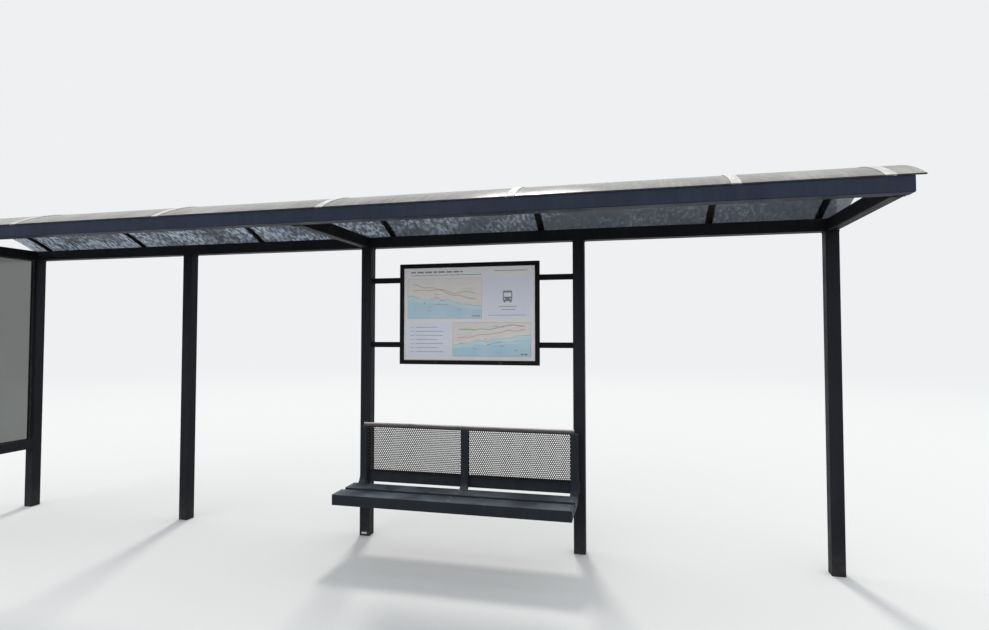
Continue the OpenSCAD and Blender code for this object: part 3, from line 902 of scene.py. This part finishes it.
lip = bmesh.new()
skin_rings(lip, [mitre_ring(corner, lip_section, border) for corner in corners], loop=True)
finished_piece("case_lip", lip, [black_rubber], crisp=40)

# The printed sheet is satin paper: two plain line maps of routes in pale beige and water blue,
# with rows of small print, faded by the sun. Places on it run from its lower left corner, in
# metres, and each layer of ink lies a hair in front of the last.
sheet_low, sheet_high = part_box("case_print")
paper_front = sheet_low.y + 0.0005
draw = random.Random(17)


def ink(name, colour, cloud=0.10):
    """Printed or bare paper: satin, a little uneven, bleached in clouds."""
    paler = [part + (0.88 - part) * cloud for part in colour]
    return clouded_finish(name, colour, paler, (9.0, 0.3, 0.7, 4.0), 30.0, (0.45, 0.62),
                          {"Specular IOR Level": 0.35})


inks = [ink("paper_bare", (0.80, 0.79, 0.82)), ink("ink_land", (0.76, 0.71, 0.69)),
        ink("ink_water", (0.34, 0.62, 0.80), 0.22), ink("ink_wood", (0.60, 0.72, 0.56)),
        ink("ink_lavender", (0.74, 0.77, 0.92), 0.05), ink("ink_road", (0.90, 0.88, 0.82)),
        ink("ink_red", (0.55, 0.12, 0.09), 0.03), ink("ink_green", (0.12, 0.34, 0.18), 0.03),
        ink("ink_grey", (0.12, 0.12, 0.13), 0.03), ink("ink_dark", (0.020, 0.022, 0.035), 0.01),
        ink("ink_shoal", (0.46, 0.72, 0.78), 0.3)]
bare, land, water, wood, lavender, road, red, green, grey, dark, shoal = range(11)
layer_step = 0.00003
route_sheet = bmesh.new()


def patch(points, layer, colour):
    """A flat shape of ink on the sheet."""
    made = [route_sheet.verts.new((sheet_low.x + u, paper_front - layer * layer_step, sheet_low.z + v))
            for u, v in points]
    route_sheet.faces.new(made).material_index = colour


def oblong(u0, v0, u1, v1, layer, colour):
    """A plain flat oblong, from its lower left corner to its upper right one."""
    patch([(u0, v0), (u1, v0), (u1, v1), (u0, v1)], layer, colour)


def stroke(points, width, layer, colour):
    """A drawn line of even width with mitred turns."""
    sides = ([], [])
    for i, point in enumerate(points):
        before, after = Vector(points[max(i - 1, 0)]), Vector(points[min(i + 1, len(points) - 1)])
        along = (after - before).normalized()
        across = Vector((-along.y, along.x)) * width / 2
        sides[0].append(Vector(point) + across)
        sides[1].append(Vector(point) - across)
    for i in range(len(points) - 1):
        patch([sides[0][i], sides[0][i + 1], sides[1][i + 1], sides[1][i]], layer, colour)


def disc_mark(u, v, radius, layer, colour, sides=16):
    """A round dot."""
    patch(arc(u, v, radius, 0, 360, sides)[:-1], layer, colour)


def small_print(u0, u1, v, tall, colour, longest=0.05):
    """A row of short bars in place of words."""
    u = u0
    while u < u1 - tall:
        wide = min(draw.uniform(tall * 1.2, longest), u1 - u)
        oblong(u, v, u + wide, v + tall, 4, colour)
        u += wide + tall * 0.8


def wander(area, first, last, sway, turns, margin, inset=0.0):
    """A line that wanders across a map; all but the turns are shares of the map's width or height."""
    u0, v0, u1, v1 = area
    shift, made = 0.0, []
    for k in range(turns + 1):
        share = k / turns
        shift = 0.75 * shift + draw.uniform(-sway, sway)
        level = first + (last - first) * share + shift * math.sin(share * math.pi) ** 0.4
        made.append((u0 + (u1 - u0) * (inset + (1 - 2 * inset) * share),
                     v0 + (v1 - v0) * min(max(level, margin), 1 - margin)))
    return made


def route_map(area, shore, woods, routes):
    """One framed map: land, water along its foot, woods, roads, place names and routes with stops."""
    u0, v0, u1, v1 = area
    wide, tall = u1 - u0, v1 - v0
    oblong(*area, 1, land)
    coast = wander(area, *shore, 0.05, 26, 0.1)
    for (ua, va), (ub, vb) in zip(coast, coast[1:]):
        patch([(ua, v0), (ub, v0), (ub, vb), (ua, va)], 2, water)
    stroke(coast, 0.0016, 3, grey)
    for centre_u, centre_v, reach_u, reach_v in woods:
        ring = []
        for k in range(18):
            swell = draw.uniform(0.8, 1.15)
            ring.append((u0 + wide * centre_u + reach_u * swell * math.cos(k * math.tau / 18),
                         v0 + tall * centre_v + reach_v * swell * math.sin(k * math.tau / 18)))
        patch(ring, 2, wood)
    shallow = 0.10 * tall
    for (ua, va), (ub, vb) in zip(coast, coast[1:]):
        patch([(ua, va - shallow), (ub, vb - shallow), (ub, vb), (ua, va)], 2.5, shoal)
    for _ in range(7):
        points = wander(area, draw.uniform(0.35, 0.95), draw.uniform(0.35, 0.95), 0.03, 14, 0.04)
        stroke(points, 0.0022, 3, road)
    for _ in range(9):
        u, v = u0 + wide * draw.uniform(0.05, 0.85), v0 + tall * draw.uniform(0.08, 0.92)
        small_print(u, u + draw.uniform(0.022, 0.040), v, 0.0042, grey, 0.02)
    small_print(u1 - 0.075, u1 - 0.015, v0 + tall * 0.05, 0.0075, dark, 0.03)
    for colour, first, last in routes:
        points = wander(area, first, last, 0.045, 12, 0.06, inset=0.08)
        stroke(points, 0.0044, 4, colour)
        for u, v in points[::2]:
            disc_mark(u, v, 0.0048, 5, bare, 12)
            disc_mark(u, v, 0.0028, 6, dark, 12)
    border_line = [(u0, v0), (u1, v0), (u1, v1), (u0, v1), (u0, v0)]
    for start, stop in zip(border_line, border_line[1:]):
        stroke([start, stop], 0.0012, 6, grey)


paper_corners = four_corners(sheet_low.x, sheet_low.z, sheet_high.x, sheet_high.z)
skin_rings(route_sheet, [[Vector((corner[0], y, corner[1])) for corner in paper_corners]
                         for y in (sheet_high.y, paper_front)])
small_print(0.06, 0.46, 0.652, 0.012, dark, 0.06)
small_print(0.06, 0.60, 0.632, 0.0055, grey, 0.04)
small_print(0.70, 0.94, 0.655, 0.006, grey, 0.04)
route_map((0.035, 0.315, 0.605, 0.610), (0.55, 0.30), [(0.80, 0.72, 0.05, 0.026)],
          [(red, 0.70, 0.62), (green, 0.86, 0.48)])
route_map((0.385, 0.040, 0.965, 0.285), (0.34, 0.62),
          [(0.22, 0.78, 0.045, 0.022), (0.50, 0.86, 0.03, 0.016)], [(red, 0.55, 0.80), (grey, 0.80, 0.88)])
oblong(0.625, 0.315, 0.965, 0.610, 1, lavender)
oblong(0.035, 0.040, 0.365, 0.285, 1, lavender)
for k in range(7):
    v = 0.250 - k * 0.030
    stroke([(0.055, v + 0.002), (0.085, v + 0.002)], 0.003, 2, (red, green, grey)[k % 3])
    small_print(0.100, 0.100 + draw.uniform(0.14, 0.23), v, 0.0040, grey, 0.035)

# The sheet's sign is the plain front of a bus: body, window, lamps and wheels.
sign_u, sign_v = 0.795, 0.475
patch([(sign_u + u, sign_v + v) for u, v in tube_outline(0.034, 0.038, 0.009, 0.004)], 2, dark)
patch([(sign_u + u, sign_v + 0.009 + v) for u, v in tube_outline(0.027, 0.015, 0.004, 0.004)], 3, lavender)
for side in (-1, 1):
    disc_mark(sign_u + side * 0.021, sign_v - 0.022, 0.0050, 3, lavender)
    wheel_u = sign_u + side * 0.022
    oblong(wheel_u - 0.007, sign_v - 0.047, wheel_u + 0.007, sign_v - 0.038, 2, dark)
small_print(0.735, 0.86, 0.395, 0.006, grey, 0.04)
small_print(0.75, 0.85, 0.375, 0.005, grey, 0.03)
small_print(0.655, 0.93, 0.335, 0.0035, grey, 0.03)
piece = finished_piece("route_sheet", route_sheet, inks, crisp=30)
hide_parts("case_print")

# Tag
# A small blank aluminium plate with rounded corners, cut from sheet. Two rivets hold it to the
# front of the third post, just above the ground.
tag_x, tag_z = -0.001, 0.021
tag_half_x, tag_half_z, tag_corner = 0.021, 0.0065, 0.0025
tag_thick = 0.0010
tag_rivet = (0.0018, 0.0008)
tag_rivet_off = 0.0170
tag_rings = ((0.0, 0.0), (0.0, 0.0007), (0.0004, tag_thick))
post_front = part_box("post_3")[0].y
tag = bmesh.new()
skin_rings(tag, [[Vector((tag_x + u, post_front - out, tag_z + v)) for u, v in
                  tube_outline(tag_half_x - inset, tag_half_z - inset, tag_corner - inset, 0.0021)]
                 for inset, out in tag_rings])
for side in (-1, 1):
    rivet = (tag_x + side * tag_rivet_off, post_front - tag_thick, tag_z)
    dome_head(tag, rivet, (0, -1, 0), tag_rivet, sides=12)
finished_piece("foot_tag", tag, [chalky_metal], crisp=40)
